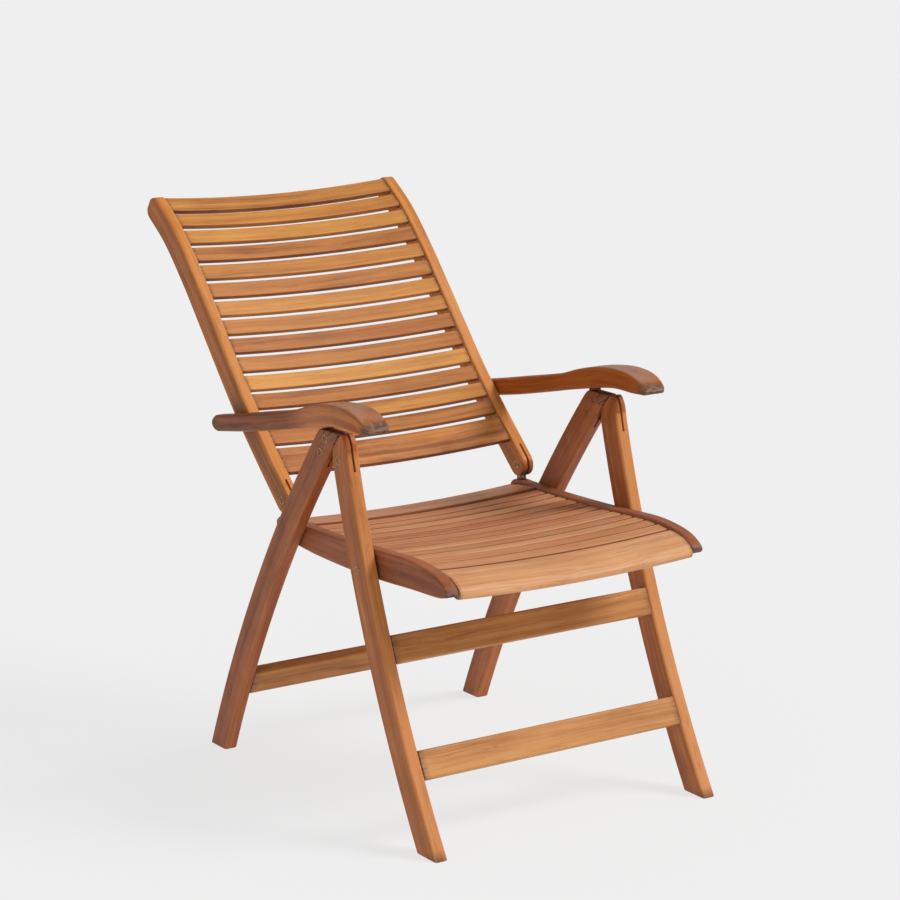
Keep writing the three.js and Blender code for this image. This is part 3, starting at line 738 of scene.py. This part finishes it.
def makeRails():
    y = roundEnded(seat["railStations"])
    top = [seat["rearEnd"][-1]] + seat["top"]
    upper, lower = outlineEdges(y, seat["bottom"], seat["rearEnd"], top, seat["frontEnd"], 200)
    centre = np.stack([y, (upper + lower) / 2], -1)
    normal = np.broadcast_to([0.0, 1.0], centre.shape)
    inset = easedEnds(y, seat["railEase"])
    halfAcross = np.maximum((upper - lower) / 2, 0.3)
    halfX = (railOuter - railInner) / 2
    for word, side in sides:
        name = f"seat_rail_{word}"
        middle = side * railMiddle
        piece = sideBoard(name + "_wood", centre, normal, halfAcross, middle, halfX - inset,
                          seat["railCorner"])
        sawCut(piece, seat["slot"], middle)
        measure = alongSide(centre, np.maximum(halfAcross, 12), middle, halfX)
        asWood(piece, name, "seat_rail_wood", "seat", measure, someTone(*seat["railTone"]),
               endReach=seat["railEndReach"])


def bowedBoard(name, a, b, middle, direction, bow, ends):
    # carries a section across the chair on a shallow parabola: lowest in the middle
    x = withEnds(np.linspace(-slatHalf, slatHalf, 61), ends)
    inset = easedEnds(x, ends)
    shrink = 1 - inset / max(np.abs(b).max(), 6)
    sag = bow * ((x / slatHalf) ** 2 - 1)
    centreA, centreB = a.mean(), b.mean()
    across = centreA + (a[None] - centreA) * shrink[:, None]
    out = centreB + (b[None] - centreB) * shrink[:, None] + sag[:, None]
    cy, cz = direction
    y = middle[0] + across * cy - out * cz
    z = middle[1] + across * cz + out * cy
    return skin(name, toFrame(y, z, x[:, None]))


def plankSection(width, thickness, ease):
    # a rounded rectangle with its face at out = 0 and its back at out = -thickness
    a, b = roundedSection([width / 2], [thickness / 2], ease)
    return a[0], b[0] - thickness / 2


def railTop(y):
    # height of the rail's top edge, straight between its points
    line = np.array(seat["top"])[::-1]
    return np.interp(y, line[:, 0], line[:, 1])


def seatBoard(name, y, a, b, tilt, half, thickness, tone, paintedGapShade=0.0):
    middle = (y, float(railTop(y)) - seat["drop"])
    direction = (math.cos(tilt), math.sin(tilt))
    piece = bowedBoard(name + "_wood", a, b, middle, direction, seat["bow"], seat["endEase"])
    measure = acrossChair(middle, direction, half, thickness, seat["bow"], slatHalf)
    asWood(piece, name, "seat_slat_wood", "seat", measure, tone, paintedGapShade=paintedGapShade)


def makeSeatSlats():
    width = seat["rearSlatWidth"]
    a, b = plankSection(width, seat["thickness"], seat["ease"] + 0.8)
    seatBoard("seat_slat_01", seat["rearSlatFront"] + width / 2, a, b, seat["rearSlatTilt"], width / 2,
              seat["thickness"], someTone(*seat["slatTones"][0]), seat["paintedGapShade"])
    width = seat["pitch"] - seat["gap"]
    a, b = plankSection(width, seat["thickness"], seat["ease"])
    for i, (lightness, redness) in enumerate(seat["slatTones"][1:]):
        y = seat["rearSlatFront"] - seat["gap"] - width / 2 - seat["pitch"] * i
        tilt = math.atan(float(railTop(y + 6) - railTop(y - 6)) / 12)
        seatBoard(f"seat_slat_{i + 2:02d}", y, a, b, tilt, width / 2, seat["thickness"],
                  someTone(lightness, redness, 0.9), seat["paintedGapShade"])


def makeNosing():
    # the front board: a sculpted section, smoothed, rounded over the front
    outline = np.array(seat["nosing"] + seat["nosing"][:1], float)
    section = smoothCurve(outline, 84)[:-1]
    seatBoard("seat_nosing", seat["nosingAt"], section[:, 0], section[:, 1], 0.0, seat["nosingHalf"],
              seat["nosingDepth"], someTone(*seat["nosingTone"]))


makeRails()
makeSeatSlats()
makeNosing()
print("seat done")

back = {
    "line": [(154.5, 463.5), (225, 529), (294, 597), (360, 671.5), (413, 733), (466, 793), (527, 853),
             (592, 898)],
    "width": 42.0, "topRadius": 15.0, "corner": 3.6, "slotTop": 26.0,
    # the stile's front face is lightened by a painted highlight for light from the front
    "stileTone": (-0.08, 0.15, 1.0), "stilePaintedFaceLight": 0.26, "stileEase": 2.4,
    "bow": 12.5, "thickness": 10.0, "pitch": 36.7, "slatWidth": 28.5, "firstGap": 95.0, "drop": 3.0,
    # the side darkening of the back slats is painted shade for the gaps between them
    "ease": 2.2, "endEase": 1.2, "paintedGapShade": 0.2, "bottomWidth": 50.0, "bottomAt": 65.5, "topWidth": 34.0,
    "topReach": 21.5, "regular": 13,
    # lightness and redness of each slat from the bottom to the top
    "tones": [(-0.14, 0.5), (-0.09, 0.5), (0.01, 0.2), (-0.03, 0.6), (0.22, 0.0), (0.0, 0.4), (-0.10, 0.7),
              (0.03, 0.4), (0.11, 0.1), (0.0, 0.6), (0.07, 0.3), (-0.08, 0.4), (0.15, 0.0), (0.02, 0.2),
              (0.04, 0.1)],
    "bottomKnots": [(-40, 7, 5.0), (-18, 3, 6.5), (9, 6, 4.5), (-60, -9, 3.5)],
}
stileLine = smoothCurve(back["line"], 800)
stileSteps = lengthAlong(stileLine)
stileLength = float(stileSteps[-1])
stileTangent = np.gradient(stileLine, axis=0)
stileTangent /= np.linalg.norm(stileTangent, axis=1)[:, None]


def onStile(s):
    # point and direction of the stile's centre line at a length, straight on below its start
    place = np.stack([np.interp(s, stileSteps, stileLine[:, k]) for k in (0, 1)], -1)
    heading = np.stack([np.interp(s, stileSteps, stileTangent[:, k]) for k in (0, 1)], -1)
    heading /= np.linalg.norm(heading, axis=-1, keepdims=True)
    below = np.minimum(s, 0)
    return place + heading * np.asarray(below)[..., None], heading


def makeStiles():
    half = back["width"] / 2
    radius = back["topRadius"]
    s = np.concatenate([
        -half * np.cos(np.linspace(0.05, np.pi / 2, 12)), np.linspace(10, stileLength - radius, 58),
        stileLength - radius + radius * np.sin(np.linspace(0.15, np.pi / 2, 8)),
    ])
    centre, heading = onStile(s)
    normal = np.stack([-heading[:, 1], heading[:, 0]], -1)
    low = np.sqrt(np.maximum(half**2 - np.minimum(s, 0) ** 2, 0.3))
    beyond = np.clip(s - (stileLength - radius), 0, radius)
    high = half - radius + np.sqrt(np.maximum(radius**2 - beyond**2, 0.1))
    halfAcross = np.minimum(low, high)
    inset = easedEnds(s, back["stileEase"])
    halfX = (railOuter - railInner) / 2
    places, headings = onStile(np.array([back["slotTop"]]))
    place, way = places[0], headings[0]
    across = np.array([-way[1], way[0]]) * (half + 3)
    slotLine = [tuple(place - across), tuple(place + across), (118, 480), (118, 425), (205, 425)]
    for word, side in sides:
        name = f"back_stile_{word}"
        middle = side * railMiddle
        piece = sideBoard(name + "_wood", centre, normal, halfAcross, middle, halfX - inset,
                          back["corner"])
        sawCut(piece, slotLine, middle)
        measure = alongSide(centre, half, middle, halfX)
        asWood(piece, name, "back_stile_wood", "back", measure, someTone(*back["stileTone"]),
               paintedFaceLight=back["stilePaintedFaceLight"])


def backBoard(name, s, width, tone, knots=()):
    place, heading = onStile(np.array([s]))
    place, heading = place[0], heading[0]
    face = place + np.array([-heading[1], heading[0]]) * (back["width"] / 2 - back["drop"])
    a, b = plankSection(width, back["thickness"], back["ease"])
    piece = bowedBoard(name + "_wood", a, b, face, heading, back["bow"], back["endEase"])
    measure = acrossChair(face, heading, width / 2, back["thickness"], back["bow"], slatHalf)
    asWood(piece, name, "back_slat_wood", "back", measure, tone, knots, paintedGapShade=back["paintedGapShade"])


def makeBackSlats():
    tones = back["tones"]
    backBoard("back_slat_01", back["bottomAt"], back["bottomWidth"], someTone(*tones[0], 1.5),
              back["bottomKnots"])
    for i in range(back["regular"]):
        backBoard(f"back_slat_{i + 2:02d}", back["firstGap"] + back["pitch"] * (i + 0.5), back["slatWidth"],
                  someTone(*tones[i + 1], 1.0, 0.03))
    top = back["firstGap"] + back["pitch"] * back["regular"] + back["topReach"]
    backBoard("back_slat_15", top, back["topWidth"], someTone(*tones[14], 1.0))


makeStiles()
makeBackSlats()
print("back done")

armrest = {
    "bottom": [(-165, 634.5), (-141, 633.5), (-98, 633.5), (-54, 627.5), (17, 613), (111, 592), (187, 575.5),
               (245, 564.5), (318, 552)],
    "rearEnd": [(318, 552), (327, 553.5), (332, 559), (332.5, 571), (325, 578.5)],
    "top": [(325, 578.5), (254, 592.5), (168, 610.5), (71, 631), (17, 647.5), (-36, 660), (-89, 666.5),
            (-132, 664.5), (-158, 656.5), (-173, 646)],
    "frontEnd": [(-173, 646), (-177.5, 641), (-176, 636.5), (-171, 634.5), (-165, 634.5)],
    # distances out and in from the bar's middle: the paddle swells mostly to the outside
    "planOut": [(334, 7), (333, 10), (330, 12), (322, 13), (120, 13), (60, 14.5), (10, 18.5), (-50, 24.5),
                (-100, 28), (-140, 29), (-168, 27.5), (-174, 25), (-178, 22)],
    "planIn": [(334, 7), (333, 10), (330, 12), (322, 13), (60, 13), (10, 13.5), (-50, 15.5), (-100, 17.5),
               (-140, 18), (-168, 17), (-174, 15.5), (-178, 13.5)],
    "stations": {"tip": -177.8, "tipReach": 12, "middle": (-163, 314, 64), "tail": 331.6, "tailReach": 15,
                 "least": 0.08, "turnCount": 12},
    "barCorner": 6.0, "paddleCorner": 4.0,
    "tones": {"right": (0.12, 0.3, 0.9), "left": (0.10, 0.5, 1.0)},
    "tipKnots": [(4, 9, 6.0), (10, -2, 5.0), (495, 3, 4.5)],
    "endReach": 24.0, "fade": {"right": (-0.34, 150.0, 300.0), "left": (0.0, 0.0, 1.0)},
    # a painted sheen, a painted reflection, on the upper face from the tip, dying away between 130 and 240
    # mm along
    "paintedSheenTop": (1.0, 130.0, 240.0),
    "notches": 5, "notchPitch": 18.5, "notchRadius": 3.6, "pinReach": 7.5,
    # the slot for the hinge plate's neck and, across it, the groove for its pin: how far each goes
    # ahead of the pin and behind it, how high its roof is above the pin, and half its width
    "neckSlot": {"ahead": 36, "behind": 104, "roof": 10.2, "half": 2.2},
    "pinGroove": {"ahead": 22, "behind": 92, "roof": 4.2, "half": 8.1},
}
grooveTilt = math.atan2(armPivot[1] - notchPin[1], armPivot[0] - notchPin[0])


def inGroove(along, up):
    # a point of the groove under the armrest: along it from the pin, and up from the pin
    return (notchPin[0] + along * math.cos(grooveTilt) - up * math.sin(grooveTilt),
            notchPin[1] + along * math.sin(grooveTilt) + up * math.cos(grooveTilt))


def grooveSlab(shape, middle, notched=False):
    # a cut open at the bottom; notched gives its roof a row of round notches
    ahead, behind, roof = shape["ahead"], shape["behind"], shape["roof"]
    line = [inGroove(-ahead, roof), inGroove(-ahead, -40), inGroove(behind, -40), inGroove(behind, roof)]
    if notched:
        turn = np.linspace(0, np.pi, 9)
        for i in reversed(range(armrest["notches"])):
            start = armrest["notchPitch"] * i
            line += [inGroove(start + armrest["notchRadius"] * math.cos(t),
                              roof + armrest["notchRadius"] * math.sin(t)) for t in turn]
    return slab("groove", line, middle - shape["half"], middle + shape["half"])


def makeArmrests():
    y = roundEnded(armrest["stations"])
    upper, lower = outlineEdges(y, *(armrest[key] for key in ("bottom", "rearEnd", "top", "frontEnd")), 300)
    out, into = (
        np.interp(y, *smoothCurve(armrest[key][::-1], 300).T) for key in ("planOut", "planIn")
    )
    halfX = (out + into) / 2
    barMiddle = armOuter - max(half for _, half in armrest["planOut"])
    centre = np.stack([y, (upper + lower) / 2], -1)
    normal = np.broadcast_to([0.0, 1.0], centre.shape)
    halfAcross = np.maximum((upper - lower) / 2, 0.4)
    swell = smoothStep(-y, -60, 60)
    corner = armrest["barCorner"] + (armrest["paddleCorner"] - armrest["barCorner"]) * swell
    for word, side in sides:
        name = f"armrest_{word}"
        middle = side * barMiddle
        middles = side * (barMiddle + (out - into) / 2)
        piece = sideBoard(name + "_wood", centre, normal, halfAcross, middles, halfX, corner)
        cutAway(piece, [grooveSlab(armrest["neckSlot"], middle),
                        grooveSlab(armrest["pinGroove"], middle, True)])
        measure = alongSide(centre, np.maximum(halfAcross, 10), middles, np.maximum(halfX, 10))
        asWood(piece, name, "armrest_wood", name, measure, someTone(*armrest["tones"][word], 0.02),
               armrest["tipKnots"], armrest["endReach"], fade=armrest["fade"][word],
               paintedSheenTop=armrest["paintedSheenTop"])


makeArmrests()
print("armrests done")

fastener = {
    "head": 6.9, "eye": 3.9, "eyeDepth": 2.6, "proud": 0.5, "shank": 3.5, "lip": 0.6, "headDepth": 3.0,
    "plateRivets": {"upper": (-30.0, 603.0), "lower": (-14.0, 579.0)}, "turns": 36, "crease": 40,
    # a turned profile stops this far from its axis, where a fan of faces closes it
    "core": 0.05,
    "seatCollar": 12.0, "washerGap": 0.3, "armCollar": 10.0, "armCollarLength": 1.9, "armCollarEase": 0.4,
    "notchPin": 3.0, "pivotPin": 4.0, "pinEase": 0.6, "boltEnd": 4.0, "boltEase": 0.9,
}


def headProfile(faceX, outward):
    # from the middle of the sunk eye out over its rounded rim to the edge of the head
    lip, proud = fastener["lip"], fastener["proud"]
    turn = np.linspace(np.pi, np.pi / 2, 4)
    inner = np.stack([fastener["eye"] + lip + lip * np.cos(turn), proud - lip + lip * np.sin(turn)], -1)
    turn = np.linspace(np.pi / 2, 0, 4)
    outer = np.stack([fastener["head"] - lip + lip * np.cos(turn), proud - lip + lip * np.sin(turn)], -1)
    depth = fastener["eyeDepth"]
    floor = [(fastener["core"], -depth + 0.25), (fastener["eye"] * 0.6, -depth),
             (fastener["eye"], -depth + 0.5)]
    line = np.vstack([floor, inner, outer, [(fastener["head"], -1.2)]])
    return np.stack([line[:, 0], faceX + outward * line[:, 1]], -1)


def makeTurned(name, centre, profile, slotName, body, eyes=()):
    # a turned metal piece; eyes gives where its heads face and which way, and its recess value is
    # 1 in their sunk eyes, where the material paints shade, and 0 elsewhere
    piece = skin(name + "_metal", latheRings(centre, profile, fastener["turns"]))
    places = placesOf(piece.data)
    far = np.hypot(places[:, 1] - (centre[0] - layoutShift), places[:, 2] - centre[1])
    paintedEyeShade = np.zeros(len(places))
    for faceX, outward in eyes:
        deep = (faceX - places[:, 0]) * outward > -0.1
        paintedEyeShade = np.maximum(paintedEyeShade, (far < fastener["eye"] + 0.35) & deep)
    layer = piece.data.attributes.new("paintedEyeShade", "FLOAT", "POINT")
    layer.data.foreach_set("value", paintedEyeShade.astype(np.float32))
    finishPiece(piece, name, slotName, body, fastener["crease"])


def makeRivet(name, centre, x0, x1, body):
    # a head on each face and the shank between them
    inner0, inner1 = x0 + fastener["headDepth"], x1 - fastener["headDepth"]
    neck = [(fastener["head"], inner0), (fastener["shank"], inner0), (fastener["shank"], inner1),
            (fastener["head"], inner1)]
    profile = np.vstack([headProfile(x0, -1), neck, headProfile(x1, 1)[::-1]])
    makeTurned(name, centre, profile, "brass_fastener", body, [(x0, -1), (x1, 1)])


def collarProfile(shank, radius, ease, x0, x1):
    # a washer on a shank, its two rims eased, from x0 to x1
    step = math.copysign(ease, x1 - x0)
    return [(shank, x0), (radius - ease, x0), (radius, x0 + step), (radius, x1 - step), (radius - ease, x1),
            (shank, x1)]


def pinProfile(radius, x0, x1, collar=()):
    # a pin with eased tips, and the collar on it, if it has one
    ease, core = fastener["pinEase"], fastener["core"]
    return [(core, x0), (radius - ease, x0), (radius, x0 + ease), *collar, (radius, x1 - ease),
            (radius - ease, x1), (core, x1)]


def makeSeatBolt(name, side):
    # a head with an eye outside, a collar between leg and rail, and a blind end in the rail
    shank, gap = fastener["shank"], fastener["washerGap"]
    headInner = legOuter - fastener["headDepth"]
    collar = collarProfile(shank, fastener["seatCollar"], fastener["pinEase"],
                           legInner - gap, railOuter + gap)
    blind = railInner + fastener["boltEnd"]
    end = [(shank, blind + 1), (shank - fastener["boltEase"], blind), (fastener["core"], blind)]
    rest = [(fastener["head"], headInner), (shank, headInner), *collar, *end]
    profile = np.vstack([headProfile(side * legOuter, side), [(r, side * x) for r, x in rest]])
    makeTurned(name, seatPivot, profile, "brass_fastener", "front_frame", [(side * legOuter, side)])


def makeFasteners():
    for word, side in sides:
        x0, x1 = sorted((side * legOuter, side * legInner))
        makeRivet(f"leg_pivot_rivet_{word}", legPivot, x0, x1, "front_frame")
        for place, centre in fastener["plateRivets"].items():
            makeRivet(f"leg_plate_rivet_{place}_{word}", centre, x0, x1, "rear_frame")
        x0, x1 = sorted((side * railOuter, side * railInner))
        makeRivet(f"back_pivot_rivet_{word}", backPivot, x0, x1, "back_rivets")
        makeSeatBolt(f"seat_pivot_bolt_{word}", side)
        middle = side * legMiddle
        reach = armrest["pinReach"]
        pin = pinProfile(fastener["notchPin"], middle - reach, middle + reach)
        makeTurned(f"armrest_notch_pin_{word}", notchPin, pin, "bronze_plate", "rear_frame")
        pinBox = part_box(f"armrest_pivot_pin_{word}")
        lowX, highX = sorted((abs(pinBox[0][0]) / mm, abs(pinBox[1][0]) / mm))
        collarX = railOuter + fastener["washerGap"]
        collar = collarProfile(fastener["pivotPin"], fastener["armCollar"], fastener["armCollarEase"],
                               collarX, collarX + fastener["armCollarLength"])
        pin = pinProfile(fastener["pivotPin"], lowX, highX, collar)
        makeTurned(f"armrest_pivot_pin_{word}", armPivot, [(r, side * x) for r, x in pin], "bronze_plate",
                   "armrest_pins")


makeFasteners()
for word, side in sides:
    for plate in (f"leg_hinge_plate_{word}", f"back_hinge_plate_{word}"):
        node = frame["nodes"][plate]
        node.data.materials.clear()
        node.data.materials.append(materials["bronze_plate"])
print("fasteners done")

# The lamps are distant and soft, so the floor is evenly lit; it also glows a little, as a lit
# paper sweep does, which keeps its shadows faint.
studio = {
    "floor": "6c6c6c", "glow": 0.722, "floorHalf": 60.0, "room": 0.43, "seen": 0.871,
    "key": {"from": (0.85, -0.65, 0.95), "strength": 2.35, "softness": 24.0},
    "fill": {"from": (-0.9, -0.55, 0.55), "strength": 0.18, "softness": 70.0},
}
camera = {
    "at": (-2.54337, -3.84417 - layoutShift * mm, 1.58393), "yaw": 33.315, "pitch": -12.703, "roll": -0.336,
    "lens": 116.99,
}


def makeFloor():
    half = studio["floorHalf"]
    mesh = bpy.data.meshes.new("floor")
    corners = [(-half, -half, 0), (half, -half, 0), (half, half, 0), (-half, half, 0)]
    mesh.from_pydata(corners, [], [(0, 1, 2, 3)])
    floor = addObject("floor", mesh)
    material, _, surface = newMaterial("pale floor")
    surface["Base Color"].default_value = shade(studio["floor"])
    surface["Roughness"].default_value = 0.9
    surface["Specular IOR Level"].default_value = 0.0
    surface["Emission Color"].default_value = (1, 1, 1, 1)
    surface["Emission Strength"].default_value = studio["glow"]
    mesh.materials.append(material)


def makeLamp(name, light):
    data = bpy.data.lights.new(name, "SUN")
    data.energy = light["strength"]
    data.angle = math.radians(light["softness"])
    lamp = addObject(name, data)
    lamp.rotation_euler = Vector(light["from"]).to_track_quat("Z", "Y").to_euler()


def makeRoom():
    # the walls as seen match the floor, and light the chair with less
    world = bpy.data.worlds.new("studio")
    world.use_nodes = True
    graph = Graph(world.node_tree)
    background = world.node_tree.nodes["Background"].inputs
    background["Color"].default_value = (1, 1, 1, 1)
    seen = graph.node("ShaderNodeLightPath").outputs["Is Camera Ray"]
    strength = graph.maths("MULTIPLY_ADD", seen, studio["seen"] - studio["room"], studio["room"])
    graph.feed(strength, background["Strength"])
    bpy.context.scene.world = world


def makeCamera():
    # looks along yaw and pitch; roll turns the picture about the line of sight
    yaw, pitch, roll = (math.radians(camera[key]) for key in ("yaw", "pitch", "roll"))
    ahead = np.array([math.sin(yaw) * math.cos(pitch), math.cos(yaw) * math.cos(pitch), math.sin(pitch)])
    right = np.array([math.cos(yaw), -math.sin(yaw), 0.0])
    up = np.cross(right, ahead)
    acrossView = math.cos(roll) * right + math.sin(roll) * up
    upView = math.cos(roll) * up - math.sin(roll) * right
    data = bpy.data.cameras.new("camera")
    data.lens = camera["lens"]
    data.sensor_width = 36.0
    data.clip_end = 200.0
    eye = addObject("camera", data)
    turned = np.stack([acrossView, upView, -ahead], -1)
    axes = Matrix([(*row, place) for row, place in zip(turned, camera["at"])])
    eye.matrix_world = axes.to_4x4()
    bpy.context.scene.camera = eye


def makeStudio():
    makeFloor()
    for name in ("key", "fill"):
        makeLamp(name, studio[name])
    makeRoom()
    bpy.context.scene.view_settings.view_transform = "Standard"
    makeCamera()


makeStudio()
print("studio done")
